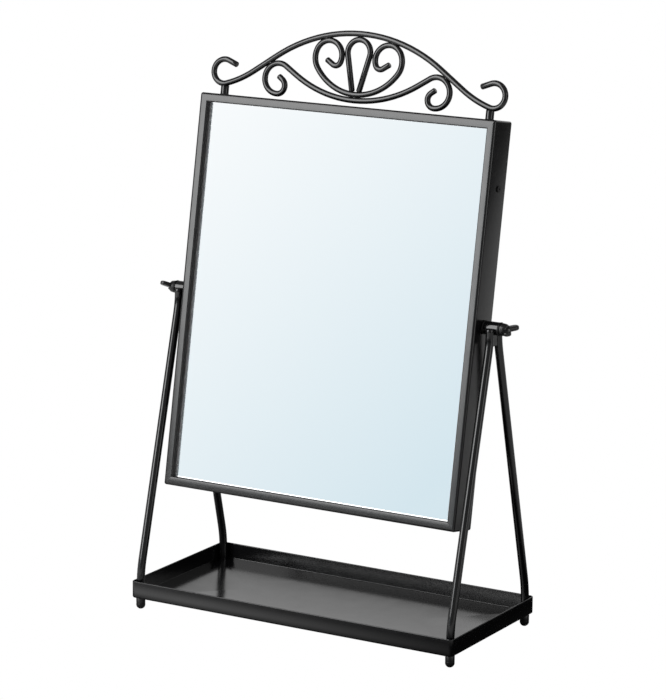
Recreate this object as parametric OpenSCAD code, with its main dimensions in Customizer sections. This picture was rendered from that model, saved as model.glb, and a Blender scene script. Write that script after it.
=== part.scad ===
// Table-top dressing mirror: a tilting framed mirror held between two pairs of
// bent wire legs that stand in the corners of a shallow sheet-steel tray.
// Millimetres. X to the right, Y to the back, Z up, table level at Z = 0.

/* [Tray] */
// overall width of the tray
tray_width = 270; // [240:1:300]
// overall depth of the tray, front to back
tray_depth = 126.4; // [100:0.1:140]
// height of the tray floor's underside above the table
tray_lift = 9; // [5:0.1:15]
// height of the tray rim above the table
tray_rim = 21.9; // [16:0.1:30]
// thickness of the folded tray sheet
tray_sheet = 1; // [0.6:0.1:1.6]
// outside radius of the tray's upright corners
tray_corner = 3; // [2:0.5:4]

/* [Legs] */
// diameter of the leg wire
leg_wire = 6; // [4:0.1:7]
// half the spacing of the wires where they pass through the tray, across
foot_x = 130.4; // [125:0.1:131]
// half the spacing of the wires where they pass through the tray, front to back
foot_y = 57.2; // [50:0.1:59]
// half the spacing of the wire tops, across
top_x = 130; // [129:0.1:132]
// half the spacing of the wire tops, front to back
top_y = 6.2; // [5:0.1:8]
// height of the lower bend, where the wires lean inwards
heel_z = 28; // [20:0.5:60]
// height of the upper bend, where the wires turn upright
knee_z = 223.5; // [215:0.5:226]
// height of the wire tops
leg_top = 234; // [230:0.5:236]
// centre-line radius of the lower leg bends
heel_bend = 80; // [20:1:120]
// centre-line radius of the upper leg bends
knee_bend = 60; // [10:1:70]
// diameter of the foot caps
cap_dia = 6.8; // [6.6:0.1:8]
// height of the wire's lower end, inside the cap
cap_floor = 2.4; // [1:0.1:3]
// height of the cap's top edge
cap_top = 8.6; // [5:0.1:8.9]

/* [Mirror frame] */
// outside width of the mirror frame
frame_width = 244.4; // [220:0.1:248]
// outside height of the mirror frame
frame_height = 290.6; // [260:0.1:300]
// overall depth of the frame
frame_depth = 25; // [18:0.1:30]
// how far the frame's front face stands in front of the pivot axis
frame_front = 14.4; // [8:0.1:16]
// width of the flat front rim
rim_width = 6.6; // [4:0.1:10]
// depth from the front rim to the glass
recess = 4.7; // [3:0.1:6]
// thickness of the frame sheet
frame_sheet = 1; // [0.6:0.1:1.6]
// outside corner radius of the frame
frame_corner = 1.5; // [1.2:0.1:2]
// height of the pivot axis above the table
pivot_z = 233.1; // [225:0.1:240]
// how far the top leans back at rest, in degrees
lean = 9.9; // [0:0.1:20]

/* [Glass and back] */
// thickness of the mirror glass
glass = 3; // [2:0.5:4]
// thickness of the foam tape behind the glass
tape = 1; // [0.5:0.1:1.5]
// thickness of the hardboard that backs the glass
backer = 2.5; // [2:0.5:3]
// thickness of the rear panel
panel = 3; // [2:0.5:4]
// how far the rear panel is sunk into the frame
panel_sink = 1.4; // [0.5:0.1:3]
// width of the wooden battens inside the frame's sides
batten_width = 9.3; // [7:0.1:9.5]
// height of the side screws above the pivot
side_screw_z = 97.5; // [60:1:120]
// how far the side screws sit behind the pivot axis
side_screw_y = 0.1; // [-2:0.1:6]

/* [Pivot] */
// outside diameter of the pivot sleeve
sleeve_dia = 9.6; // [8:0.1:12]
// length of the pivot sleeve
sleeve_length = 11.3; // [9:0.1:14]
// diameter of the wing screw shank
screw_dia = 4; // [3:0.5:5]
// length of the shank inside the frame
screw_grip = 8; // [5:0.5:9]
// diameter of the washers
washer_dia = 10; // [8:0.1:12]
// thickness of the fibre washer beside the frame
fibre_washer = 1; // [0.5:0.1:1.5]
// thickness of the steel washer under the wing screw
steel_washer = 0.8; // [0.5:0.1:1.2]
// diameter of the wing screw's hub
hub_dia = 9.2; // [8:0.1:11]
// length of the wing screw's hub
hub_length = 4.7; // [3:0.1:7]
// radius of the rounded end of each wing
wing_radius = 2.9; // [2:0.1:4]
// thickness of the wings
wing_thick = 2.8; // [1.5:0.1:4]
// distance of the wing ends' centres from the screw's axis
wing_reach = 6; // [4:0.1:8]
// distance of the wing ends' centres outward from the hub's inner face
wing_out = 7.4; // [6:0.1:10]
// turn of the right wing screw at rest, in degrees
wing_turn_right = 10; // [-90:1:90]
// turn of the left wing screw at rest, in degrees
wing_turn_left = -27; // [-90:1:90]

/* [Crest] */
// diameter of the crest wire
crest_wire = 4.3; // [3:0.1:5]
// how far the crest stands behind the pivot axis
crest_y = -0.4; // [-4:0.1:8]
// height of the arch's centre line above the pivot axis
arch_top = 197.6; // [190:0.1:210]
// height of the swag's centre line above the pivot axis
swag_low = 149.6; // [149:0.1:155]
// diameter of the two posts under the arch
post_dia = 6; // [5:0.1:8]
// half the spacing of the posts
post_x = 110; // [105:0.1:115]

/* [Hidden] */
$fn = 64;

black = [0.05, 0.05, 0.05];
wire_r = leg_wire / 2;
floor_top = tray_lift + tray_sheet;
weld = 0.1;
running = 0.06;
seam = 0.05;
knuckle = 0.04;
loose = 0.3;

// stations along the pivot axis, measured from the middle of the mirror
half_w = frame_width / 2;
half_h = frame_height / 2;
wall_in = half_w - frame_sheet;
fibre_x = half_w + loose;
sleeve_x = fibre_x + fibre_washer;
sleeve_end = sleeve_x + sleeve_length;
steel_x = sleeve_end + 0.2;
hub_x = steel_x + steel_washer + 0.2;
shank_in = wall_in - screw_grip;

// depths in the mirror, measured back from the pivot axis
front_y = -frame_front;
rear_y = frame_depth - frame_front;
glass_y = front_y + recess;
tape_y = glass_y + glass;
backer_y = tape_y + tape;
panel_y = rear_y - panel_sink - panel;
batten_in = wall_in - 0.2 - batten_width;

// each crest wire is one bend schedule for its right half, starting on the
// centre line and heading right: [radius, turn] for a bend, [0, length] for
// a straight run; a positive turn bends upwards
arch_bends = [[121.6, -34], [0, 22.8], [81.2, 17.5], [8.9, 217.5], [0, 8]];
swag_bends = [[95, 32], [0, 10.9], [11.1, -215], [5.9, -142], [0, 4]];
heart_bends = [[41, 54], [14.1, 59], [10.9, 181], [4.1, 98], [0, 6.5]];
teardrop_bends = [[9.3, -103.5], [0, 26.8]];
heart_low = swag_low + crest_wire - weld;
teardrop_top = arch_top - crest_wire + weld;

// one leg lies in an upright plane: up from the tray, then in to the knee
run_x = top_x - foot_x;
run_y = top_y - foot_y;
leg_run = sqrt(run_x * run_x + run_y * run_y);
leg_rise = knee_z - heel_z;
leg_turn = atan(leg_run / leg_rise);
leg_slant = sqrt(leg_run * leg_run + leg_rise * leg_rise);
heel_take = heel_bend * tan(leg_turn / 2);
knee_take = knee_bend * tan(leg_turn / 2);

// a round wire that follows a bend schedule from the origin, heading along X;
// consecutive runs stop just short of each other inside a small round knuckle
module bent_wire(bends, r, i = 0) {
  if (i > 0) rotate([0, 90, 0]) sphere(r = r + knuckle);
  if (i < len(bends)) {
    b = bends[i];
    if (b[0] == 0) {
      translate([i > 0 ? seam : 0, 0, 0]) rotate([0, 90, 0])
        cylinder(r = r, h = b[1] - (i < len(bends) - 1 ? seam : 0) - (i > 0 ? seam : 0));
      translate([b[1], 0, 0]) if (i < len(bends) - 1) bent_wire(bends, r, i + 1);
    } else {
      side = b[1] > 0 ? 1 : -1;
      back_off = seam / b[0] * 57.3;
      translate([0, side * b[0], 0]) {
        rotate([0, 0, (b[1] > 0 ? -90 : 90 + b[1]) + back_off])
          rotate_extrude(angle = abs(b[1]) - 2 * back_off)
            translate([b[0], 0]) circle(r = r);
        rotate([0, 0, b[1]]) translate([0, -side * b[0], 0])
          if (i < len(bends) - 1) bent_wire(bends, r, i + 1);
      }
    }
  }
}

// a crest wire: its middle bend spans both halves, and the rest of the
// schedule runs on from each end of it
module symmetric_wire(bends, r) {
  b = bends[0];
  side = b[1] > 0 ? 1 : -1;
  back_off = seam / b[0] * 57.3;
  translate([0, side * b[0], 0]) {
    rotate([0, 0, -side * 90 - abs(b[1]) + back_off])
      rotate_extrude(angle = 2 * (abs(b[1]) - back_off))
        translate([b[0], 0]) circle(r = r);
    for (half = [0, 180]) rotate([0, half, 0]) rotate([0, 0, b[1]])
      translate([0, -side * b[0], 0]) bent_wire(bends, r, 1);
  }
}

// an upright plate-like block with rounded upright corners
module rounded_block(w, d, h, r) {
  translate([-w / 2 + r, -d / 2, 0]) cube([w - 2 * r, d, h]);
  translate([-w / 2, -d / 2 + r, 0]) cube([w, d - 2 * r, h]);
  for (sx = [-1, 1], sy = [-1, 1])
    translate([sx * (w / 2 - r), sy * (d / 2 - r), 0]) cylinder(r = r, h = h);
}

// a box given by its lowest corner and its highest corner
module box(low, high) {
  translate(low) cube(high - low);
}

// places the mirror's own axes at the pivot with the resting lean
module leaning() {
  translate([0, 0, pivot_z]) rotate([-lean, 0, 0]) children();
}

// a cylinder along the pivot axis, from x0 to x1 on the given side
module axle(side, x0, x1, r) {
  rotate([0, side * 90, 0]) translate([0, 0, x0]) cylinder(r = r, h = x1 - x0);
}

module tray() {
  color(black) difference() {
    translate([0, 0, tray_lift])
      rounded_block(tray_width, tray_depth, tray_rim - tray_lift, tray_corner);
    translate([0, 0, floor_top])
      rounded_block(tray_width - 2 * tray_sheet, tray_depth - 2 * tray_sheet,
                    tray_rim - tray_lift, tray_corner - tray_sheet);
    for (sx = [-1, 1], sy = [-1, 1])
      translate([sx * foot_x, sy * foot_y, tray_lift - 1])
        cylinder(r = wire_r - weld / 2, h = tray_sheet + 2);
  }
}

// sx and sy are the signs of the corner the leg stands in
module leg(sx, sy) {
  bends = [[0, heel_z - cap_floor - heel_take], [heel_bend, -leg_turn],
           [0, leg_slant - heel_take - knee_take], [knee_bend, leg_turn],
           [0, leg_top - knee_z - knee_take]];
  color(black) translate([sx * foot_x, sy * foot_y, cap_floor])
    rotate([0, 0, atan2(sy * run_y, sx * run_x)])
      rotate([90, 0, 0]) rotate([0, 0, 90]) bent_wire(bends, wire_r);
}

module foot_cap(sx, sy) {
  dome = cap_dia / 2 + 0.05;
  color([0.03, 0.03, 0.03]) translate([sx * foot_x, sy * foot_y, 0]) difference() {
    intersection() {
      cylinder(d = cap_dia, h = cap_top);
      union() {
        translate([0, 0, dome - 0.2]) sphere(r = dome);
        translate([0, 0, dome - 0.5]) cylinder(d = cap_dia + 2, h = cap_top);
      }
    }
    translate([0, 0, cap_floor]) cylinder(r = wire_r - weld / 2, h = cap_top);
  }
}

// pivot sleeve with a web plate between the two leg tops
module pivot_lug(side) {
  web_x = top_x - 1.2;
  web_low = 220.7;
  color(black) translate([0, 0, pivot_z]) difference() {
    union() {
      axle(side, sleeve_x, sleeve_end, sleeve_dia / 2);
      translate([side > 0 ? web_x : -web_x - 2.4, 0, 0])
        rotate([90, 0, 90]) linear_extrude(2.4)
          polygon([[-4.2, web_low - pivot_z], [4.2, web_low - pivot_z],
                   [3.3, -3.5], [-3.3, -3.5]]);
    }
    axle(side, sleeve_x - 1, sleeve_end + 1, screw_dia / 2 + running);
    for (sy = [-1, 1])
      translate([side * top_x, sy * top_y, -8]) cylinder(r = wire_r, h = 20);
  }
}

module fibre_washer_ring(side) {
  color([0.06, 0.06, 0.06]) translate([0, 0, pivot_z]) difference() {
    axle(side, fibre_x, sleeve_x, washer_dia / 2);
    axle(side, fibre_x - 1, sleeve_x + 1, screw_dia / 2 + loose);
  }
}

module steel_washer_ring(side) {
  color(black) translate([0, 0, pivot_z]) difference() {
    axle(side, steel_x, steel_x + steel_washer, washer_dia / 2);
    axle(side, steel_x - 1, steel_x + steel_washer + 1, screw_dia / 2 + loose);
  }
}

// folded sheet section: deep outer wall, flat front rim, short inner lip
module mirror_frame() {
  color(black) leaning() difference() {
    rotate([-90, 0, 0]) translate([0, 0, front_y])
      rounded_block(frame_width, frame_height, frame_depth, frame_corner);
    box([-half_w + rim_width, front_y - 1, -half_h + rim_width],
        [half_w - rim_width, rear_y + 1, half_h - rim_width]);
    difference() {
      box([-wall_in, front_y + frame_sheet, -half_h + frame_sheet],
          [wall_in, rear_y + 1, half_h - frame_sheet]);
      box([-half_w + rim_width - frame_sheet, front_y, -half_h + rim_width - frame_sheet],
          [half_w - rim_width + frame_sheet, glass_y, half_h - rim_width + frame_sheet]);
    }
    for (s = [-1, 1]) {
      axle(s, wall_in - 1, half_w + 1, screw_dia / 2 + loose);
      side_screw_place(s) axle(1, -2, 1, 1.5);
    }
  }
}

module side_screw_place(s) {
  translate([s * (half_w + weld), side_screw_y, side_screw_z])
    rotate([0, 0, s > 0 ? 0 : 180]) children();
}

module mirror_glass() {
  color([0.8, 0.86, 0.88]) leaning()
    box([-wall_in + 0.8, glass_y, -half_h + frame_sheet + 0.8],
        [wall_in - 0.8, glass_y + glass, half_h - frame_sheet - 0.8]);
}

module foam_tape() {
  w = 12;
  x1 = batten_in - 1;
  z1 = half_h - 6;
  color([0.15, 0.15, 0.15]) leaning() {
    for (s = [-1, 1]) {
      box([s > 0 ? x1 - w : -x1, tape_y, -z1], [s > 0 ? x1 : -x1 + w, tape_y + tape, z1]);
      box([-x1 + w + 2, tape_y, s > 0 ? z1 - w : -z1],
          [x1 - w - 2, tape_y + tape, s > 0 ? z1 : -z1 + w]);
    }
  }
}

module backing_board() {
  color([0.35, 0.24, 0.15]) leaning()
    box([-batten_in + 0.5, backer_y, -half_h + 4],
        [batten_in - 0.5, backer_y + backer, half_h - 4]);
}

// four battens inside the frame's sides, two above and two below the pivot
module side_battens() {
  color([0.62, 0.48, 0.32]) leaning() difference() {
    for (s = [-1, 1], z = [-1, 1])
      box([s > 0 ? batten_in : -batten_in - batten_width, tape_y, z > 0 ? 22 : -half_h + 4],
          [s > 0 ? batten_in + batten_width : -batten_in, panel_y, z > 0 ? half_h - 4 : -22]);
    for (s = [-1, 1]) side_screw_place(s) axle(1, -9, 1, 1.25);
    for (s = [-1, 1], z = [-1, 1])
      translate([s * (batten_in + batten_width / 2), panel_y - 6, z * 125])
        rotate([-90, 0, 0]) cylinder(r = 1.25, h = 8);
  }
}

module back_panel() {
  color([0.1, 0.09, 0.08]) leaning() difference() {
    box([-wall_in + 0.3, panel_y, -half_h + frame_sheet + 0.3],
        [wall_in - 0.3, panel_y + panel, half_h - frame_sheet - 0.3]);
    for (s = [-1, 1], z = [-1, 1])
      translate([s * (batten_in + batten_width / 2), panel_y - 1, z * 125])
        rotate([-90, 0, 0]) cylinder(r = 1.7, h = panel + 2);
  }
}

module panel_screws() {
  color([0.6, 0.6, 0.6]) leaning()
    for (s = [-1, 1], z = [-1, 1])
      translate([s * (batten_in + batten_width / 2), panel_y + panel, z * 125])
        rotate([-90, 0, 0]) difference() {
          union() {
            cylinder(r = 3, h = 1.2);
            translate([0, 0, -panel - 5]) cylinder(r = 1.3, h = panel + 5.1);
          }
          box([-2, -0.35, 0.6], [2, 0.35, 2]);
          box([-0.35, -2, 0.6], [0.35, 2, 2]);
        }
}

// thin flat-headed screws through the frame's sides into the upper battens
module side_screws() {
  color(black) leaning()
    for (s = [-1, 1]) side_screw_place(s) difference() {
      union() {
        axle(1, -0.12, 0.55, 2.4);
        axle(1, -8, 0, 1.3);
      }
      box([0.15, -1.5, -0.3], [1, 1.5, 0.3]);
    }
}

module pivot_nut(side) {
  color([0.55, 0.55, 0.55]) leaning() difference() {
    axle(side, shank_in - 0.5, wall_in + weld / 2, 3.2);
    axle(side, shank_in - 2, wall_in + 2, screw_dia / 2 + running);
  }
}

module crest_place(z) {
  leaning() translate([0, crest_y, z]) rotate([90, 0, 0]) children();
}

module crest_arch() {
  color(black) crest_place(arch_top) symmetric_wire(arch_bends, crest_wire / 2);
}
module crest_swag() {
  color(black) crest_place(swag_low) symmetric_wire(swag_bends, crest_wire / 2);
}
module crest_heart() {
  color(black) crest_place(heart_low) symmetric_wire(heart_bends, crest_wire / 2);
}
module crest_teardrop() {
  color(black) crest_place(teardrop_top)
    symmetric_wire(teardrop_bends, crest_wire / 2);
}

module crest_post(side) {
  color(black) leaning()
    translate([side * post_x, crest_y, half_h - weld])
      cylinder(d = post_dia, h = 6.6);
}

module wing_screw(side, turn) {
  lobe_x = hub_x + wing_out;
  root_x = hub_x + 2.2;
  slope = atan((lobe_x - root_x) / wing_reach);
  color(black) translate([0, 0, pivot_z]) rotate([turn, 0, 0]) {
    axle(side, shank_in, hub_x, screw_dia / 2);
    axle(side, hub_x, hub_x + hub_length, hub_dia / 2);
    for (s = [-1, 1]) {
      translate([side * lobe_x, s * wing_reach, -wing_thick / 2])
        cylinder(r = wing_radius, h = wing_thick);
      translate([side * root_x, 0, 0]) rotate([0, 0, s * side * -slope])
        translate([-2.6, s > 0 ? 0 : -wing_reach / cos(slope), -wing_thick / 2])
          cube([5.2, wing_reach / cos(slope), wing_thick]);
    }
  }
}

module leg_front_left() { leg(-1, -1); }
module leg_front_right() { leg(1, -1); }
module leg_back_left() { leg(-1, 1); }
module leg_back_right() { leg(1, 1); }
module foot_cap_front_left() { foot_cap(-1, -1); }
module foot_cap_front_right() { foot_cap(1, -1); }
module foot_cap_back_left() { foot_cap(-1, 1); }
module foot_cap_back_right() { foot_cap(1, 1); }
module pivot_lug_left() { pivot_lug(-1); }
module pivot_lug_right() { pivot_lug(1); }
module fibre_washer_left() { fibre_washer_ring(-1); }
module fibre_washer_right() { fibre_washer_ring(1); }
module pivot_nut_left() { pivot_nut(-1); }
module pivot_nut_right() { pivot_nut(1); }
module crest_post_left() { crest_post(-1); }
module crest_post_right() { crest_post(1); }
module steel_washer_left() { steel_washer_ring(-1); }
module steel_washer_right() { steel_washer_ring(1); }
module wing_screw_left() { wing_screw(-1, wing_turn_left); }
module wing_screw_right() { wing_screw(1, wing_turn_right); }

tray();
leg_front_left();
leg_front_right();
leg_back_left();
leg_back_right();
foot_cap_front_left();
foot_cap_front_right();
foot_cap_back_left();
foot_cap_back_right();
pivot_lug_left();
pivot_lug_right();
fibre_washer_left();
fibre_washer_right();
mirror_frame();
mirror_glass();
foam_tape();
backing_board();
side_battens();
back_panel();
panel_screws();
side_screws();
pivot_nut_left();
pivot_nut_right();
crest_arch();
crest_swag();
crest_heart();
crest_teardrop();
crest_post_left();
crest_post_right();
steel_washer_left();
steel_washer_right();
wing_screw_left();
wing_screw_right();
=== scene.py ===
import math

import bmesh
import bpy
from mathutils import Matrix, Quaternion, Vector


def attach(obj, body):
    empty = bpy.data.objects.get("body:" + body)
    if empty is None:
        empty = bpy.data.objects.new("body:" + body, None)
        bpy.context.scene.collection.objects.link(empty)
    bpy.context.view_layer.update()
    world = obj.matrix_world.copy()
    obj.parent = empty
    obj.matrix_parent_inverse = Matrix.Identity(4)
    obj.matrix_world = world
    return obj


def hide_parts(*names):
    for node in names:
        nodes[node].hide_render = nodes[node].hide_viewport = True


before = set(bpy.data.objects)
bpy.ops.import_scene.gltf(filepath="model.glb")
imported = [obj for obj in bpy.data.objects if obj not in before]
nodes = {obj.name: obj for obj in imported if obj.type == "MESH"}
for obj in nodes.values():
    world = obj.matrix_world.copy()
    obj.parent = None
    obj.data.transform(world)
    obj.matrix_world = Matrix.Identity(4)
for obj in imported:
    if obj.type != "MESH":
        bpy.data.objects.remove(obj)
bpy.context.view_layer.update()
mm = 0.001

# the mirror's own axes: x across, y back from the pivot axis, z up the glass
mirrorPose = {"pivotHeight": 233.1, "lean": 9.9}
atPivot = Matrix.Translation((0, 0, mirrorPose["pivotHeight"] * mm))
leaning = atPivot @ Matrix.Rotation(math.radians(-mirrorPose["lean"]), 4, "X")
upright = Matrix.Identity(4)
corners = [(fore, near, side, word) for fore, near in ((-1, "front"), (1, "back"))
           for side, word in ((-1, "left"), (1, "right"))]


def linear(hexColour):  # an sRGB hex colour as the linear colour a shader wants
    parts = [int(hexColour[i:i + 2], 16) / 255 for i in (1, 3, 5)]
    return [c / 12.92 if c <= 0.04045 else ((c + 0.055) / 1.055) ** 2.4 for c in parts] + [1.0]


def addNode(tree, kind, inputs=None, **settings):  # a node with its settings, values and links
    made = tree.nodes.new(kind)
    for name, value in settings.items():
        setattr(made, name, value)
    for name, value in (inputs or {}).items():
        if isinstance(value, bpy.types.NodeSocket):
            tree.links.new(value, made.inputs[name])
        else:
            made.inputs[name].default_value = value
    return made


def startMaterial(name, colour, roughness, metallic=0.0):  # its tree, shader and Object coordinates
    made = bpy.data.materials.new(name)
    made.use_nodes = True
    tree = made.node_tree
    surface = tree.nodes["Principled BSDF"]
    surface.inputs["Base Color"].default_value = linear(colour)
    surface.inputs["Roughness"].default_value = roughness
    surface.inputs["Metallic"].default_value = metallic
    return made, tree, surface.inputs, addNode(tree, "ShaderNodeTexCoord").outputs["Object"]


# polyester powder coat, sprayed and baked: a hard black skin with a soft gloss,
# a faint orange peel where the sheet is flat and a trace of dust that greys it
powderCoat = {"colour": "#070708", "dusty": "#0C0C0D", "dustMm": 30, "glossMm": 12, "IOR": 1.5}


def sprayPowderCoat(name, roughness, peelMm, peelDepthMm):
    made, tree, surface, place = startMaterial(name, powderCoat["colour"], roughness[0])
    surface["IOR"].default_value = powderCoat["IOR"]
    dust = addNode(tree, "ShaderNodeTexNoise", {
        "Vector": place, "Scale": 1 / (powderCoat["dustMm"] * mm), "Detail": 4.0})
    greyed = addNode(tree, "ShaderNodeMix", {
        0: dust.outputs["Fac"], 6: linear(powderCoat["colour"]),
        7: linear(powderCoat["dusty"])}, data_type="RGBA")
    tree.links.new(greyed.outputs[2], surface["Base Color"])
    patches = addNode(tree, "ShaderNodeTexNoise", {
        "Vector": place, "Scale": 1 / (powderCoat["glossMm"] * mm), "Detail": 3.0})
    gloss = addNode(tree, "ShaderNodeMapRange", {
        "Value": patches.outputs["Fac"], "From Min": 0.3, "From Max": 0.7,
        "To Min": roughness[0], "To Max": roughness[1]})
    tree.links.new(gloss.outputs["Result"], surface["Roughness"])
    peel = addNode(tree, "ShaderNodeTexNoise", {
        "Vector": place, "Scale": 1 / (peelMm * mm), "Detail": 1.0})
    relief = addNode(tree, "ShaderNodeBump", {
        "Height": peel.outputs["Fac"], "Strength": 1.0, "Distance": peelDepthMm * mm})
    tree.links.new(relief.outputs["Normal"], surface["Normal"])
    return made


frameCoat = sprayPowderCoat("polyesterPowderCoatOnFrame", (0.19, 0.23), 1.8, 0.0022)
trayCoat = sprayPowderCoat("polyesterPowderCoatOnTray", (0.13, 0.17), 2.2, 0.0016)
wireCoat = sprayPowderCoat("polyesterPowderCoatOnWire", (0.1, 0.14), 3.0, 0.001)

# black enamel on the cast wing screws: duller, with the grain of the casting under it
castEnamel, tree, surface, place = startMaterial("blackEnamelOnCastSteel", "#0A0A0B", 0.3)
surface["IOR"].default_value = 1.5
grain = addNode(tree, "ShaderNodeTexNoise", {"Vector": place, "Scale": 1 / (0.9 * mm), "Detail": 3.0})
relief = addNode(tree, "ShaderNodeBump", {"Height": grain.outputs["Fac"], "Distance": 0.015 * mm})
tree.links.new(relief.outputs["Normal"], surface["Normal"])

# polythene foot caps, moulded: a waxy black with fine mould sparkle
capPlastic, tree, surface, place = startMaterial("mouldedPolythene", "#0C0C0D", 0.4)
surface["IOR"].default_value = 1.51
sparkle = addNode(tree, "ShaderNodeTexNoise", {"Vector": place, "Scale": 1 / (0.4 * mm), "Detail": 2.0})
relief = addNode(tree, "ShaderNodeBump", {"Height": sparkle.outputs["Fac"], "Distance": 0.005 * mm})
tree.links.new(relief.outputs["Normal"], surface["Normal"])

# vulcanised fibre washers, punched: matt black and faintly fibrous
fibre, tree, surface, place = startMaterial("punchedVulcanisedFibre", "#111010", 0.7)
surface["IOR"].default_value = 1.48
strands = addNode(tree, "ShaderNodeTexNoise", {"Vector": place, "Scale": 1 / (0.5 * mm), "Detail": 4.0})
tint = addNode(tree, "ShaderNodeMix", {0: strands.outputs["Fac"], 6: linear("#0B0A0A"),
                                       7: linear("#1C1A19")}, data_type="RGBA")
relief = addNode(tree, "ShaderNodeBump", {"Height": strands.outputs["Fac"], "Distance": 0.01 * mm})
tree.links.new(tint.outputs[2], surface["Base Color"])
tree.links.new(relief.outputs["Normal"], surface["Normal"])

# black oxide on turned steel: nearly black with a dull metal gleam
blackOxide, tree, surface, place = startMaterial("blackOxideSteel", "#151516", 0.4, 0.6)
clouds = addNode(tree, "ShaderNodeTexNoise", {"Vector": place, "Scale": 1 / (1.2 * mm), "Detail": 3.0})
gloss = addNode(tree, "ShaderNodeMapRange", {"Value": clouds.outputs["Fac"], "To Min": 0.28, "To Max": 0.5})
tree.links.new(gloss.outputs["Result"], surface["Roughness"])

# bright zinc plate on the panel screws and nuts: cool silver, slightly clouded
zinc, tree, surface, place = startMaterial("brightZincPlate", "#C4C6C8", 0.26, 1.0)
clouds = addNode(tree, "ShaderNodeTexNoise", {"Vector": place, "Scale": 1 / (1.5 * mm), "Detail": 3.0})
gloss = addNode(tree, "ShaderNodeMapRange", {"Value": clouds.outputs["Fac"], "To Min": 0.16, "To Max": 0.4})
tint = addNode(tree, "ShaderNodeMix", {0: clouds.outputs["Fac"], 6: linear("#B9BBBF"),
                                       7: linear("#CFCFCC")}, data_type="RGBA")
tree.links.new(gloss.outputs["Result"], surface["Roughness"])
tree.links.new(tint.outputs[2], surface["Base Color"])

# float glass silvered behind: a clean, faintly blue reflection with a trace of haze,
# which thickens where the silver ends beside the frame
mirrorGlass, tree, surface, place = startMaterial("silveredFloatGlass", "#FBFDFE", 0.004, 1.0)
silver = {"hazeFrom": 0.1125, "hazeTo": 0.1145, "hazeRoughness": 0.45}
haze = addNode(tree, "ShaderNodeTexNoise", {"Vector": place, "Scale": 1 / (60 * mm), "Detail": 4.0})
gloss = addNode(tree, "ShaderNodeMapRange", {
    "Value": haze.outputs["Fac"], "From Min": 0.45, "From Max": 0.8, "To Min": 0.0, "To Max": 0.012})
across = addNode(tree, "ShaderNodeSeparateXYZ", {"Vector": place})
outward = addNode(tree, "ShaderNodeMath", {0: across.outputs["X"]}, operation="ABSOLUTE")
border = addNode(tree, "ShaderNodeMapRange", {
    "Value": outward.outputs["Value"], "From Min": silver["hazeFrom"], "From Max": silver["hazeTo"],
    "To Max": silver["hazeRoughness"]})
duller = addNode(tree, "ShaderNodeMath", {0: gloss.outputs["Result"], 1: border.outputs["Result"]},
                 operation="MAXIMUM")
tree.links.new(duller.outputs["Value"], surface["Roughness"])

# hardboard, wet-pressed and painted black: fine fibres over the weave of the press screen
hardboardBack, tree, surface, place = startMaterial("blackPaintedHardboard", "#171513", 0.62)
surface["IOR"].default_value = 1.48
screenMm = 3.0  # the screen's mesh is near 1.5 mm and is drawn coarser so that it shows
fibres = addNode(tree, "ShaderNodeTexNoise", {"Vector": place, "Scale": 1 / (1.4 * mm), "Detail": 5.0})
tint = addNode(tree, "ShaderNodeMix", {0: fibres.outputs["Fac"], 6: linear("#0F0E0D"),
                                       7: linear("#24211E")}, data_type="RGBA")
wires = [addNode(tree, "ShaderNodeTexWave", {"Vector": place, "Scale": math.pi / 10 / (screenMm * mm)},
                 bands_direction=way) for way in ("X", "Z")]
weave = addNode(tree, "ShaderNodeMath", {0: wires[0].outputs["Fac"], 1: wires[1].outputs["Fac"]},
                operation="MULTIPLY")
coarse = addNode(tree, "ShaderNodeBump", {"Height": weave.outputs["Value"], "Distance": 0.12 * mm})
fine = addNode(tree, "ShaderNodeBump", {"Height": fibres.outputs["Fac"], "Distance": 0.05 * mm,
                                        "Normal": coarse.outputs["Normal"]})
tree.links.new(tint.outputs[2], surface["Base Color"])
tree.links.new(fine.outputs["Normal"], surface["Normal"])

# bare hardboard behind the glass: warm brown pressed fibre
hardboardBare, tree, surface, place = startMaterial("bareHardboard", "#6B4A2F", 0.7)
surface["IOR"].default_value = 1.48
fibres = addNode(tree, "ShaderNodeTexNoise", {"Vector": place, "Scale": 1 / (1.4 * mm), "Detail": 5.0})
tint = addNode(tree, "ShaderNodeMix", {0: fibres.outputs["Fac"], 6: linear("#59391F"),
                                       7: linear("#83603F")}, data_type="RGBA")
tree.links.new(tint.outputs[2], surface["Base Color"])

# sawn pine battens: pale wood with darker growth lines that run up the batten
pine, tree, surface, place = startMaterial("sawnPine", "#C79E6B", 0.6)
surface["IOR"].default_value = 1.48
alongGrain = addNode(tree, "ShaderNodeMapping", {"Vector": place, "Scale": (1, 1, 0.06)})
growth = addNode(tree, "ShaderNodeTexNoise", {
    "Vector": alongGrain.outputs["Vector"], "Scale": 1 / (3 * mm), "Detail": 4.0})
tint = addNode(tree, "ShaderNodeMix", {0: growth.outputs["Fac"], 6: linear("#D3AE7C"),
                                       7: linear("#9A6E3E")}, data_type="RGBA")
relief = addNode(tree, "ShaderNodeBump", {"Height": growth.outputs["Fac"], "Distance": 0.08 * mm})
tree.links.new(tint.outputs[2], surface["Base Color"])
tree.links.new(relief.outputs["Normal"], surface["Normal"])

# closed-cell foam tape: matt grey with small cells
foam, tree, surface, place = startMaterial("closedCellFoam", "#3A3A3B", 0.9)
cells = addNode(tree, "ShaderNodeTexVoronoi", {"Vector": place, "Scale": 1 / (0.5 * mm)})
relief = addNode(tree, "ShaderNodeBump", {"Height": cells.outputs["Distance"], "Distance": 0.1 * mm})
tree.links.new(relief.outputs["Normal"], surface["Normal"])
print("materials made")


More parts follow.
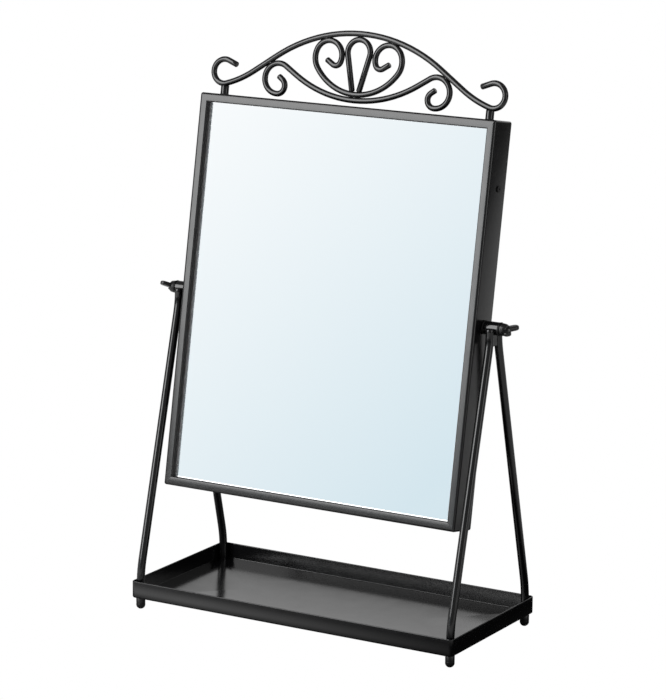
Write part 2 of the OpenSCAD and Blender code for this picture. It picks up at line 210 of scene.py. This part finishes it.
def keepPiece(name, mesh, body, replaced, material=None, sharpDegrees=35):
    made = bpy.data.objects.new(name, mesh)
    bpy.context.scene.collection.objects.link(made)
    if material is not None:
        mesh.materials.clear()
        mesh.materials.append(material)
    mesh.shade_smooth()
    mesh.set_sharp_from_angle(angle=math.radians(sharpDegrees))
    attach(made, body)
    if replaced:
        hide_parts(*replaced)
    return made


def closedMesh(name, build, place=upright):  # build fills a bmesh in mm; place puts it in the frame
    work = bmesh.new()
    build(work)
    bmesh.ops.remove_doubles(work, verts=work.verts, dist=0.001)
    bmesh.ops.recalc_face_normals(work, faces=work.faces)
    bmesh.ops.transform(work, matrix=place @ Matrix.Scale(mm, 4), verts=work.verts)
    mesh = bpy.data.meshes.new(name)
    work.to_mesh(mesh)
    work.free()
    return mesh


def addRings(work, rings, looped=False):  # skins a run of equal point rings, looped or with end caps
    made = [[work.verts.new(p) for p in ring] for ring in rings]
    pairs = list(zip(made, made[1:])) + ([(made[-1], made[0])] if looped else [])
    for first, second in pairs:
        for i in range(len(first)):
            j = (i + 1) % len(first)
            work.faces.new((first[i], first[j], second[j], second[i]))
    if not looped:
        work.faces.new(made[0])
        work.faces.new(made[-1])


def roundedRing(halfX, halfY, radius, steps=6):  # corners of a rounded rectangle, anticlockwise
    points = []
    for cornerX, cornerY, start in ((1, 1, 0), (-1, 1, 90), (-1, -1, 180), (1, -1, 270)):
        for i in range(steps + 1):
            turn = math.radians(start + 90 * i / steps)
            points.append((cornerX * (halfX - radius) + radius * math.cos(turn),
                           cornerY * (halfY - radius) + radius * math.sin(turn)))
    return points


def arcPoints(centre, radius, start, end, steps):  # points round an arc in a section, in degrees
    turns = [math.radians(start + (end - start) * i / steps) for i in range(steps + 1)]
    return [(centre[0] + radius * math.cos(t), centre[1] + radius * math.sin(t)) for t in turns]


def turned(work, section, place=upright, looped=False, sides=48):  # a lathe form, (radius, height)
    turns = [2 * math.pi * i / sides for i in range(sides)]
    addRings(work, [[place @ Vector((radius * math.cos(t), radius * math.sin(t), height))
                     for t in turns] for radius, height in section], looped)


def makeSweep():  # a tube of round wire along a curve, its ends eased by the curve's radius
    tree = bpy.data.node_groups.new("sweptWire", "GeometryNodeTree")
    tree.interface.new_socket("Geometry", in_out="INPUT", socket_type="NodeSocketGeometry")
    for name, kind in (("Wire Diameter", "NodeSocketFloat"), ("Sides", "NodeSocketInt"),
                       ("Coat", "NodeSocketMaterial")):
        tree.interface.new_socket(name, in_out="INPUT", socket_type=kind)
    tree.interface.new_socket("Geometry", in_out="OUTPUT", socket_type="NodeSocketGeometry")
    given = addNode(tree, "NodeGroupInput").outputs
    half = addNode(tree, "ShaderNodeMath", {0: given["Wire Diameter"], 1: 0.5}, operation="MULTIPLY")
    circle = addNode(tree, "GeometryNodeCurvePrimitiveCircle",
                     {"Resolution": given["Sides"], "Radius": half.outputs[0]})
    eased = addNode(tree, "GeometryNodeInputRadius")
    swept = addNode(tree, "GeometryNodeCurveToMesh", {
        "Curve": given["Geometry"], "Profile Curve": circle.outputs["Curve"],
        "Scale": eased.outputs["Radius"], "Fill Caps": True})
    real = addNode(tree, "GeometryNodeRealizeInstances", {"Geometry": swept.outputs["Mesh"]})
    coated = addNode(tree, "GeometryNodeSetMaterial",
                     {"Geometry": real.outputs["Geometry"], "Material": given["Coat"]})
    addNode(tree, "NodeGroupOutput", {"Geometry": coated.outputs["Geometry"]})
    return tree


def makeBeads():  # a slightly uneven bead of weld at every point of a mesh
    tree = bpy.data.node_groups.new("weldBeads", "GeometryNodeTree")
    tree.interface.new_socket("Geometry", in_out="INPUT", socket_type="NodeSocketGeometry")
    for name, kind in (("Bead Radius", "NodeSocketFloat"), ("Seed", "NodeSocketInt"),
                       ("Coat", "NodeSocketMaterial")):
        tree.interface.new_socket(name, in_out="INPUT", socket_type=kind)
    tree.interface.new_socket("Geometry", in_out="OUTPUT", socket_type="NodeSocketGeometry")
    given = addNode(tree, "NodeGroupInput").outputs
    bead = addNode(tree, "GeometryNodeMeshUVSphere",
                   {"Segments": 20, "Rings": 12, "Radius": given["Bead Radius"]})
    uneven = addNode(tree, "FunctionNodeRandomValue", {
        0: (0.9, 0.9, 0.9), 1: (1.15, 1.0, 1.15), "Seed": given["Seed"]}, data_type="FLOAT_VECTOR")
    placed = addNode(tree, "GeometryNodeInstanceOnPoints", {
        "Points": given["Geometry"], "Instance": bead.outputs["Mesh"], "Scale": uneven.outputs[0]})
    real = addNode(tree, "GeometryNodeRealizeInstances", {"Geometry": placed.outputs["Instances"]})
    coated = addNode(tree, "GeometryNodeSetMaterial",
                     {"Geometry": real.outputs["Geometry"], "Material": given["Coat"]})
    addNode(tree, "NodeGroupOutput", {"Geometry": coated.outputs["Geometry"]})
    return tree


def grownMesh(name, data, tree, values):  # what a tree makes of a curve or mesh, as a plain mesh
    guide = bpy.data.objects.new(name + "Guide", data)
    bpy.context.scene.collection.objects.link(guide)
    grower = guide.modifiers.new(tree.name, "NODES")
    grower.node_group = tree
    for item in tree.interface.items_tree:
        if item.in_out == "INPUT" and item.name in values:
            grower[item.identifier] = values[item.name]
    mesh = bpy.data.meshes.new_from_object(guide.evaluated_get(bpy.context.evaluated_depsgraph_get()))
    mesh.name = name
    bpy.data.objects.remove(guide)
    return mesh


sweptWire = makeSweep()
weldBeads = makeBeads()
bending = {"stepDegrees": 3, "leastSteps": 4}  # how finely a bend is drawn
wireEnds = {"easeMm": 0.7, "cutShare": 0.74}  # how a cropped wire end is rounded over


def bendRun(bends, start, heading):  # points of a wire in its own plane, from a bend schedule
    x, y = start
    turn = math.radians(heading)
    points = [(x, y)]
    for radius, amount in bends:
        if radius == 0:
            x, y = x + amount * math.cos(turn), y + amount * math.sin(turn)
            points.append((x, y))
            continue
        steps = max(bending["leastSteps"], math.ceil(abs(amount) / bending["stepDegrees"]))
        part = math.radians(amount) / steps
        reach = 2 * radius * abs(math.sin(part / 2))
        for _ in range(steps):
            x += reach * math.cos(turn + part / 2)
            y += reach * math.sin(turn + part / 2)
            turn += part
            points.append((x, y))
    return points


def easedEnd(tip, inner):  # the points near a wire's end, from the tip in, each with its share
    way = (inner - tip).normalized()
    cut = wireEnds["cutShare"]
    shares = [(0, cut)] + [(t, cut + (1 - cut) * math.sin(t * math.pi / 2)) for t in (0.2, 0.5, 1)]
    return [(tip + way * wireEnds["easeMm"] * t, share) for t, share in shares]


def makeWire(name, points, place, diameter, body, replaced, sides=24):
    path = [Vector(p) for p in points]
    stations = easedEnd(path[0], path[1]) + [(p, 1.0) for p in path[1:-1]]
    stations += reversed(easedEnd(path[-1], path[-2]))
    line = bpy.data.curves.new(name + "Line", "CURVE")
    line.dimensions = "3D"
    spline = line.splines.new("POLY")
    spline.points.add(len(stations) - 1)
    for point, (at, share) in zip(spline.points, stations):
        point.co = (*(place @ (at * mm)), 1)
        point.radius = share
    mesh = grownMesh(name, line, sweptWire, {
        "Wire Diameter": diameter * mm, "Sides": sides, "Coat": wireCoat})
    return keepPiece(name, mesh, body, replaced)


# crest wires, each half from the centre line out: [radius, turn] bends, [0, length] straights
crest = {"wire": 4.3, "depth": -0.4, "archTop": 197.6, "swagLow": 149.6, "overlap": 0.1,
         "arch": [(121.6, -34), (0, 22.8), (81.2, 17.5), (8.9, 217.5), (0, 8)],
         "swag": [(95, 32), (0, 10.9), (11.1, -215), (5.9, -142), (0, 4)],
         "heart": [(41, 54), (14.1, 59), (10.9, 181), (4.1, 98), (0, 6.5)],
         "teardrop": [(9.3, -103.5), (0, 26.8)]}
stacked = crest["wire"] - crest["overlap"]
crestStarts = {"arch": crest["archTop"], "swag": crest["swagLow"],
               "heart": crest["swagLow"] + stacked, "teardrop": crest["archTop"] - stacked}
crestPaths = {}
for wireName, height in crestStarts.items():
    right = bendRun(crest[wireName], (0, height), 0)
    crestPaths[wireName] = right
    whole = [(-x, crest["depth"], z) for x, z in reversed(right[1:])]
    whole += [(x, crest["depth"], z) for x, z in right]
    makeWire("crest_" + wireName + "_wire", whole, leaning, crest["wire"], "mirror",
             ["crest_" + wireName])

# welds: one bead wherever two crest wires touch, found from their bend schedules
beads = {"radius": 1.5, "seed": 3, "searchMm": 1.0, "reachMm": 5.2,
         "pairs": [("arch", "swag"), ("arch", "heart"), ("swag", "heart"), ("heart", "teardrop")]}


def dense(points):  # the same path with a point every millimetre or so
    made = []
    for (x0, y0), (x1, y1) in zip(points, points[1:]):
        count = max(1, math.ceil(math.hypot(x1 - x0, y1 - y0) / beads["searchMm"]))
        made += [Vector((x0 + (x1 - x0) * i / count, y0 + (y1 - y0) * i / count)) for i in range(count)]
    return made + [Vector(points[-1])]


beadSpots = bpy.data.meshes.new("weldSpots")
spots = []
for firstName, secondName in beads["pairs"]:
    pairs = [((p - q).length, (p + q) / 2) for p in dense(crestPaths[firstName])
             for q in dense(crestPaths[secondName])]
    gap, middle = min(pairs, key=lambda pair: pair[0])
    if gap < beads["reachMm"]:
        spots += [leaning @ (Vector((side * middle.x, crest["depth"], middle.y)) * mm)
                  for side in (-1, 1)]
beadSpots.from_pydata(spots, [], [])
keepPiece("crest_weld_beads", grownMesh("crest_weld_beads", beadSpots, weldBeads, {
    "Bead Radius": beads["radius"] * mm, "Seed": beads["seed"], "Coat": wireCoat}),
    "mirror", [])
print("crest wires swept and", len(spots), "beads laid")

# legs: upright through the tray corner, leaning in from the heel, upright again above the knee
legs = {"wire": 6.0, "footX": 130.4, "footY": 57.2, "topX": 130.0, "topY": 6.2,
        "low": 2.4, "heel": 28.0, "knee": 223.5, "top": 234.0, "heelBend": 80.0, "kneeBend": 60.0}
for fore, near, side, word in corners:
    foot = Vector((side * legs["footX"], fore * legs["footY"], 0))
    top = Vector((side * legs["topX"], fore * legs["topY"], 0))
    run, rise = (top - foot).length, legs["knee"] - legs["heel"]
    slant = math.degrees(math.atan2(run, rise))
    halfSlant = math.tan(math.radians(slant / 2))
    heelTake, kneeTake = legs["heelBend"] * halfSlant, legs["kneeBend"] * halfSlant
    flat = bendRun([(0, legs["heel"] - legs["low"] - heelTake), (legs["heelBend"], -slant),
                    (0, math.hypot(run, rise) - heelTake - kneeTake), (legs["kneeBend"], slant),
                    (0, legs["top"] - legs["knee"] - kneeTake)], (0, legs["low"]), 90)
    inward = (top - foot).normalized()
    legName = "leg_" + near + "_" + word
    makeWire(legName + "_wire", [foot + inward * x + Vector((0, 0, z)) for x, z in flat],
             upright, legs["wire"], "stand", [legName], sides=32)
print("legs swept")

# the tray: one sheet folded up on four sides, its edges rounded by the coat
tray = {"width": 270.0, "depth": 126.4, "under": 9.0, "rim": 21.9, "sheet": 1.0,
        "corner": 3.0, "outerBend": 1.4, "innerBend": 0.4, "rimRound": 0.4, "middle": 1.2}


def trayRing(inset, height):
    corner = max(tray["corner"] - inset, 0.6)
    return [(x, y, height) for x, y in roundedRing(tray["width"] / 2 - inset,
                                                    tray["depth"] / 2 - inset, corner)]


def buildTray(work):
    sheet, rim, under = tray["sheet"], tray["rim"], tray["under"]
    outer, inner, edge = tray["outerBend"], tray["innerBend"], tray["rimRound"]
    furthest = tray["depth"] / 2 - tray["middle"]
    section = [(furthest, under)] + arcPoints((outer, under + outer), outer, 270, 180, 6)
    section += arcPoints((edge, rim - edge), edge, 180, 90, 4)
    section += arcPoints((sheet - edge, rim - edge), edge, 90, 0, 4)
    section += arcPoints((sheet + inner, under + sheet + inner), inner, 180, 270, 5)
    section += [(furthest, under + sheet)]
    addRings(work, [trayRing(inset, height) for inset, height in section])


keepPiece("tray_folded_sheet", closedMesh("tray_folded_sheet", buildTray), "stand",
          ["tray"], trayCoat, 40)

# the mirror frame: sheet folded to a deep wall, a flat rim and a short lip down to the glass
surround = {"width": 244.4, "height": 290.6, "front": -14.4, "back": 10.6, "sheet": 1.0,
            "rim": 6.6, "glass": -9.7, "corner": 1.5, "outerBend": 2.0, "innerBend": 0.9,
            "edge": 0.3}


def surroundRing(inset, depth):
    corner = max(surround["corner"] - inset, 0.25)
    return [(x, depth, z) for x, z in roundedRing(surround["width"] / 2 - inset,
                                                   surround["height"] / 2 - inset, corner, 4)]


def buildSurround(work):
    front, back, sheet = surround["front"], surround["back"], surround["sheet"]
    rim, lip, edge = surround["rim"], surround["glass"], surround["edge"]
    outer, inner = surround["outerBend"], surround["innerBend"]
    section = arcPoints((edge, back - edge), edge, 90, 180, 3)
    section += arcPoints((outer, front + outer), outer, 180, 270, 8)
    section += arcPoints((rim - inner, front + inner), inner, 270, 360, 6)
    section += [(rim, lip - 0.05), (rim - 0.1, lip), (rim - sheet, lip), (rim - sheet, front + sheet),
                (sheet, front + sheet)]
    section += arcPoints((sheet - edge, back - edge), edge, 0, 90, 3)
    addRings(work, [surroundRing(inset, depth) for inset, depth in section], looped=True)


keepPiece("mirror_frame_folded_sheet", closedMesh("mirror_frame_folded_sheet", buildSurround, leaning),
          "mirror", ["mirror_frame"], frameCoat, 40)
print("tray and frame folded")

# posts: short studs under the arch, with a fillet of weld at each end
posts = {"x": 110.0, "diameter": 6.0, "base": 145.15, "top": 151.9, "fillet": 0.9}


def postSection():
    half, base, top, fillet = posts["diameter"] / 2, posts["base"], posts["top"], posts["fillet"]
    foot = arcPoints((half + fillet, base + fillet), fillet, 270, 180, 5)
    head = arcPoints((half + fillet / 2, top - fillet / 2), fillet / 2, 180, 90, 4)
    return foot + head


for side, word in ((-1, "left"), (1, "right")):
    at = Matrix.Translation((side * posts["x"], crest["depth"], 0))
    keepPiece("crest_post_" + word + "_welded", closedMesh(
        "crest_post_" + word, lambda work: turned(work, postSection(), at), leaning),
        "mirror", ["crest_post_" + word], wireCoat)

# foot caps: thimbles with a domed toe and a shallow grip ring
caps = {"radius": 3.4, "top": 8.6, "dome": 3.45, "domeCentre": 3.25, "bore": 2.95, "boreEnd": 2.4,
        "ring": 4.4, "ringDepth": 0.12}


def capSection():
    radius, top, dome, centre = caps["radius"], caps["top"], caps["dome"], caps["domeCentre"]
    first = math.degrees(math.acos(centre / dome))
    last = math.degrees(math.asin(radius / dome))
    section = arcPoints((0, centre), dome, 270 + first, 270 + last, 8)
    groove, depth = caps["ring"], caps["ringDepth"]
    section += [(radius, groove - 0.3), (radius - depth, groove - 0.15), (radius - depth, groove + 0.15),
                (radius, groove + 0.3), (radius, top - 0.35), (radius - 0.12, top - 0.1),
                (radius - 0.3, top), (caps["bore"], top), (caps["bore"], caps["boreEnd"])]
    return section


for fore, near, side, word in corners:
    at = Matrix.Translation((side * legs["footX"], fore * legs["footY"], 0))
    capName = "foot_cap_" + near + "_" + word
    keepPiece(capName + "_moulded", closedMesh(capName, lambda work: turned(work, capSection(), at)),
              "stand", [capName], capPlastic)

# everything on the pivot axis, by its distance from the middle of the mirror
pivot = {"fibre": (122.5, 123.5), "sleeve": (123.5, 134.8), "steel": (135.0, 135.8),
         "hub": (136.0, 140.7), "sleeveRadius": 4.8, "bore": 2.06, "washerRadius": 5.0,
         "washerBore": 2.3, "hubRadius": 4.6, "shankRadius": 2.0, "shankEnd": 113.2,
         "webThick": 2.4, "web": [(-4.2, -12.4), (4.2, -12.4), (3.3, -3.5), (-3.3, -3.5)]}
wings = {"reach": 6.0, "out": 7.4, "radius": 2.9, "thick": 2.8, "root": 2.2, "neck": 3.2,
         "round": 0.8, "turnRight": 10.0, "turnLeft": -27.0}
# where a wing's rounded edge is cut: which face it belongs to, and the degrees round the edge
wingCuts = [(-1, -90), (-1, -60), (-1, -30), (-1, 0), (1, 0), (1, 30), (1, 60), (1, 90)]


def ringSection(inner, outer, low, high, edge):  # an annulus with softened edges
    return [(inner, low + edge), (inner + edge, low), (outer - edge, low), (outer, low + edge),
            (outer, high - edge), (outer - edge, high), (inner + edge, high), (inner, high - edge)]


def buildWasher(work, outward, stations, edge):
    section = ringSection(pivot["washerBore"], pivot["washerRadius"], *stations, edge)
    turned(work, section, outward, looped=True)


def buildLug(work, outward, side):
    section = ringSection(pivot["bore"], pivot["sleeveRadius"], *pivot["sleeve"], 0.35)
    turned(work, section, outward, looped=True)
    half = pivot["webThick"] / 2
    addRings(work, [[(side * (legs["topX"] + at), y * share, z) for y, z in pivot["web"]]
                    for share, at in ((0.94, -half), (1, 0.3 - half), (1, half - 0.3), (0.94, half))])


def hubSection():
    low, high = pivot["hub"]
    radius, shank = pivot["hubRadius"], pivot["shankRadius"]
    return [(shank - 0.5, pivot["shankEnd"]), (shank, pivot["shankEnd"] + 0.5), (shank, low),
            (radius - 0.4, low), (radius, low + 0.35), (radius - 0.15, low + 2), (radius - 0.5, high - 0.8),
            (radius - 1.1, high - 0.15), (radius - 2.2, high + 0.15), (0.6, high + 0.2)]


def wingOutline(fore):  # a lobe on a tapering neck, in the plane of the wings
    centre = Vector((pivot["hub"][0] + wings["out"], fore * wings["reach"]))
    root = Vector((pivot["hub"][0] + wings["root"], 0))
    along = (centre - root).normalized()
    across = Vector((-along.y, along.x)) * wings["neck"]
    heading = math.degrees(math.atan2(along.y, along.x))
    lobe = arcPoints(centre, wings["radius"], heading - 90, heading + 90, 14)
    return [Vector(p) for p in lobe] + [root + across, root - across], (centre + root) / 2


def buildScrew(work, outward, side, twist):
    turned(work, hubSection(), twist @ outward)
    half, soft = wings["thick"] / 2, wings["round"]
    for fore in (-1, 1):
        outline, middle = wingOutline(fore)
        rings = []
        for face, degrees in wingCuts:
            lift = math.radians(degrees)
            shrink = soft * (1 - math.cos(lift))
            at = face * (half - soft) + soft * math.sin(lift)
            rings.append([twist @ Vector((side * p.x, p.y, at)) for p in
                          [q + (middle - q).normalized() * shrink for q in outline]])
        addRings(work, rings)


for side, word in ((-1, "left"), (1, "right")):
    outward = Matrix.Rotation(math.radians(90 * side), 4, "Y")
    twist = Matrix.Rotation(math.radians(wings["turnRight"] if side > 0 else wings["turnLeft"]), 4, "X")
    keepPiece("fibre_washer_" + word + "_punched", closedMesh(
        "fibre_washer_" + word, lambda work: buildWasher(work, outward, pivot["fibre"], 0.08), atPivot),
        "stand", ["fibre_washer_" + word], fibre)
    keepPiece("steel_washer_" + word + "_pressed", closedMesh(
        "steel_washer_" + word, lambda work: buildWasher(work, outward, pivot["steel"], 0.15), atPivot),
        "washer_" + word, ["steel_washer_" + word], blackOxide)
    keepPiece("pivot_lug_" + word + "_welded", closedMesh(
        "pivot_lug_" + word, lambda work: buildLug(work, outward, side), atPivot),
        "stand", ["pivot_lug_" + word], wireCoat)
    keepPiece("wing_screw_" + word + "_cast", closedMesh(
        "wing_screw_" + word, lambda work: buildScrew(work, outward, side, twist), atPivot),
        "wing_screw_" + word + "_turning", ["wing_screw_" + word], castEnamel)
print("posts, caps and pivot hardware made")

# the plain CAD pieces stay as they are, in their own finishes
for nodeName, material in (
        ("mirror_glass", mirrorGlass), ("foam_tape", foam), ("backing_board", hardboardBare),
        ("side_battens", pine), ("back_panel", hardboardBack), ("panel_screws", zinc),
        ("side_screws", blackOxide), ("pivot_nut_left", zinc), ("pivot_nut_right", zinc)):
    nodes[nodeName].data.materials.clear()
    nodes[nodeName].data.materials.append(material)

# a pale floor that runs off into a white surround: both look white from in front, and the coat
# and glass reflect the floor with a painted pool of light round the tray and painted shade far off
studio = {"floorRadius": 14.0, "floorColour": "#F4F4F4", "target": (0, 0, 0.21),
          "dimFront": 0.3, "brightBack": 0.85, "dark": 0.12,
          "bandLow": (0.06, 0.18), "bandHigh": (0.34, 0.5),
          "farFloor": (2.2, 3.4), "farShadeColour": "#383838"}

# a painted pool of light round the tray, which the coat reflects: it fades to the front, and painted shadow
# darkens it to the right and under the tray's front edge
pool = {"radius": 0.22, "fade": 0.13, "bright": 1.5, "shade": 0.03, "fromX": -0.11, "toX": 0.16,
        "frontShare": 0.28, "fromY": -0.15, "toY": -0.1, "contactShadeY": (-0.094, -0.078), "contactShade": 0.1}
work = bmesh.new()
bmesh.ops.create_circle(work, cap_ends=True, segments=96, radius=studio["floorRadius"])
floorMesh = bpy.data.meshes.new("studioFloor")
work.to_mesh(floorMesh)
work.free()
floor = bpy.data.objects.new("studioFloor", floorMesh)
bpy.context.scene.collection.objects.link(floor)
floorPaintWithPaintedLight, tree, surface, place = startMaterial("mattFloorPaintWithPaintedLight", studio["floorColour"], 0.9)
paint = tree.nodes["Principled BSDF"].outputs["BSDF"]
away = addNode(tree, "ShaderNodeVectorMath", {0: place}, operation="LENGTH")
# painted shade: in reflections the floor paint darkens to near black between 2.2 m and 3.4 m out
distantShade = addNode(tree, "ShaderNodeMapRange", {
    "Value": away.outputs["Value"], "From Min": studio["farFloor"][0], "From Max": studio["farFloor"][1]})
paintWithFarShade = addNode(tree, "ShaderNodeMix", {
    0: distantShade.outputs["Result"], 6: linear(studio["floorColour"]),
    7: linear(studio["farShadeColour"])}, data_type="RGBA")
tree.links.new(paintWithFarShade.outputs[2], surface["Base Color"])
spot = addNode(tree, "ShaderNodeSeparateXYZ", {"Vector": place})
# painted shadow: the pool dims towards the right of the tray
shadowToRight = addNode(tree, "ShaderNodeMapRange", {
    "Value": spot.outputs["X"], "From Min": pool["fromX"], "From Max": pool["toX"],
    "To Min": pool["bright"], "To Max": pool["bright"] * pool["shade"]})
before = addNode(tree, "ShaderNodeMapRange", {
    "Value": spot.outputs["Y"], "From Min": pool["fromY"], "From Max": pool["toY"],
    "To Min": pool["frontShare"], "To Max": 1.0})
# painted contact shadow: the pool dims close under the tray's front edge
under = addNode(tree, "ShaderNodeMapRange", {
    "Value": spot.outputs["Y"], "From Min": pool["contactShadeY"][0], "From Max": pool["contactShadeY"][1],
    "To Min": 1.0, "To Max": pool["contactShade"]})
pooled = addNode(tree, "ShaderNodeMath", {0: shadowToRight.outputs["Result"], 1: before.outputs["Result"]},
                 operation="MULTIPLY")
poolLight = addNode(tree, "ShaderNodeMath", {0: pooled.outputs["Value"], 1: under.outputs["Result"]},
                    operation="MULTIPLY")
# the painted pool of light, as floor paint that glows
lit = addNode(tree, "ShaderNodeEmission", {
    "Color": linear("#FFFFFF"), "Strength": poolLight.outputs["Value"]})
outside = addNode(tree, "ShaderNodeMapRange", {
    "Value": away.outputs["Value"], "From Min": pool["radius"],
    "From Max": pool["radius"] + pool["fade"]})
shaded = addNode(tree, "ShaderNodeMixShader", {
    0: outside.outputs["Result"], 1: lit.outputs["Emission"], 2: paint})
seenWhite = addNode(tree, "ShaderNodeEmission", {"Color": linear("#FFFFFF"), "Strength": 1.0})
direct = addNode(tree, "ShaderNodeLightPath").outputs["Is Camera Ray"]
either = addNode(tree, "ShaderNodeMixShader", {
    0: direct, 1: shaded.outputs["Shader"], 2: seenWhite.outputs["Emission"]})
tree.links.new(either.outputs["Shader"], tree.nodes["Material Output"].inputs["Surface"])
floorMesh.materials.append(floorPaintWithPaintedLight)

# the surround: bright behind, dim in front, and to the front left a pale wall that
# fades down and to the right, which is what the glass reflects
wall = {"turn": -30.6, "rising": 4.2, "leftward": 5.7, "level": 0.12,
        "low": "#D8E8EF", "high": "#FFFFFF", "edge": (0.9, 0.97)}
wallTurn = math.radians(wall["turn"])
wallWay = Vector((math.sin(wallTurn), -math.cos(wallTurn), 0))
wallLeft = Vector((-math.cos(wallTurn), -math.sin(wallTurn), 0))
sky = bpy.data.worlds.new("studioSky")
sky.use_nodes = True
bpy.context.scene.world = sky
tree = sky.node_tree
tree.nodes.clear()
direction = addNode(tree, "ShaderNodeTexCoord").outputs["Generated"]
fade = addNode(tree, "ShaderNodeVectorMath", {
    0: direction, 1: wallLeft * wall["leftward"] + Vector((0, 0, wall["rising"]))}, operation="DOT_PRODUCT")
level = addNode(tree, "ShaderNodeMath", {0: fade.outputs["Value"], 1: wall["level"]}, operation="ADD",
                use_clamp=True)
wallColour = addNode(tree, "ShaderNodeMix", {0: level.outputs[0], 6: linear(wall["low"]),
                                             7: linear(wall["high"])}, data_type="RGBA")
backness = addNode(tree, "ShaderNodeSeparateXYZ", {"Vector": direction})
rising = addNode(tree, "ShaderNodeMapRange", {
    "Value": backness.outputs["Z"], "From Min": studio["bandLow"][0], "From Max": studio["bandLow"][1],
    "To Min": studio["dark"], "To Max": studio["brightBack"]})
falling = addNode(tree, "ShaderNodeMapRange", {
    "Value": backness.outputs["Z"], "From Min": studio["bandHigh"][0], "From Max": studio["bandHigh"][1],
    "To Min": studio["brightBack"], "To Max": studio["dark"]})
backLight = addNode(tree, "ShaderNodeMath", {0: rising.outputs["Result"], 1: falling.outputs["Result"]},
                    operation="MINIMUM")
dimness = addNode(tree, "ShaderNodeMapRange", {
    "Value": backness.outputs["Y"], "From Min": 0.0, "From Max": 0.6,
    "To Min": studio["dimFront"], "To Max": backLight.outputs["Value"]})
towards = addNode(tree, "ShaderNodeVectorMath", {0: direction, 1: wallWay}, operation="DOT_PRODUCT")
onWall = addNode(tree, "ShaderNodeMapRange", {
    "Value": towards.outputs["Value"], "From Min": wall["edge"][0], "From Max": wall["edge"][1]})
room = addNode(tree, "ShaderNodeMix", {0: onWall.outputs["Result"], 6: dimness.outputs["Result"],
                                       7: wallColour.outputs[2]}, data_type="RGBA")
dim = addNode(tree, "ShaderNodeBackground", {"Color": room.outputs[2], "Strength": 1.0})
seen = addNode(tree, "ShaderNodeBackground", {"Color": linear("#FFFFFF"), "Strength": 1.0})
direct = addNode(tree, "ShaderNodeLightPath").outputs["Is Camera Ray"]
either = addNode(tree, "ShaderNodeMixShader", {0: direct, 1: dim.outputs[0], 2: seen.outputs[0]})
addNode(tree, "ShaderNodeOutputWorld", {"Surface": either.outputs[0]})


def facing(turnDegrees, riseDegrees):  # the way out to a stand point, and the turn that looks back
    a, e = math.radians(turnDegrees), math.radians(riseDegrees)
    out = Vector((math.sin(a) * math.cos(e), -math.cos(a) * math.cos(e), math.sin(e)))
    return out, (-out).to_track_quat("-Z", "Y")


def hangSoftbox(name, radiance, size, turnDegrees, riseDegrees, distance):
    lamp = bpy.data.lights.new(name, "AREA")
    lamp.shape = "RECTANGLE"
    lamp.size, lamp.size_y = size
    lamp.energy = radiance * math.pi * size[0] * size[1]
    made = bpy.data.objects.new(name, lamp)
    bpy.context.scene.collection.objects.link(made)
    out, turn = facing(turnDegrees, riseDegrees)
    made.location = Vector(studio["target"]) + out * distance
    made.rotation_mode = "QUATERNION"
    made.rotation_quaternion = turn
    made.visible_camera = False
    return made


# a tall softbox at the front left greys the rim and draws a thin line down each wire,
# and a weaker one at the right picks out the far side of the wires and the frame's corner
key = hangSoftbox("keySoftbox", 6.0, (1.3, 2.4), -30.6, 29.5, 2.4)
hangSoftbox("sideSoftbox", 2.0, (0.8, 1.4), 82, 12, 2.4)

# the glass shows the pale wall and not the softbox in front of it
notKeyLit = bpy.data.collections.new("notKeyLit")
notKeyLit.objects.link(nodes["mirror_glass"])
notKeyLit.collection_objects[0].light_linking.link_state = "EXCLUDE"
key.light_linking.receiver_collection = notKeyLit

# the camera stands right of centre and looks a little down through a long lens
shot = {"place": (1.16405, -1.99044, 0.71922), "turn": 30.339, "rise": 12.651, "roll": 0.598,
        "lens": 167.88, "sensor": 36, "clipEnd": 60}
camera = bpy.data.objects.new("camera", bpy.data.cameras.new("camera"))
bpy.context.scene.collection.objects.link(camera)
camera.location = shot["place"]
camera.rotation_mode = "QUATERNION"
camera.rotation_quaternion = facing(shot["turn"], shot["rise"])[1] @ Quaternion(
    (0, 0, 1), math.radians(shot["roll"]))
camera.data.lens = shot["lens"]
camera.data.sensor_width = shot["sensor"]
camera.data.clip_end = shot["clipEnd"]
bpy.context.scene.camera = camera
bpy.context.scene.view_settings.view_transform = "Standard"
print("studio set")
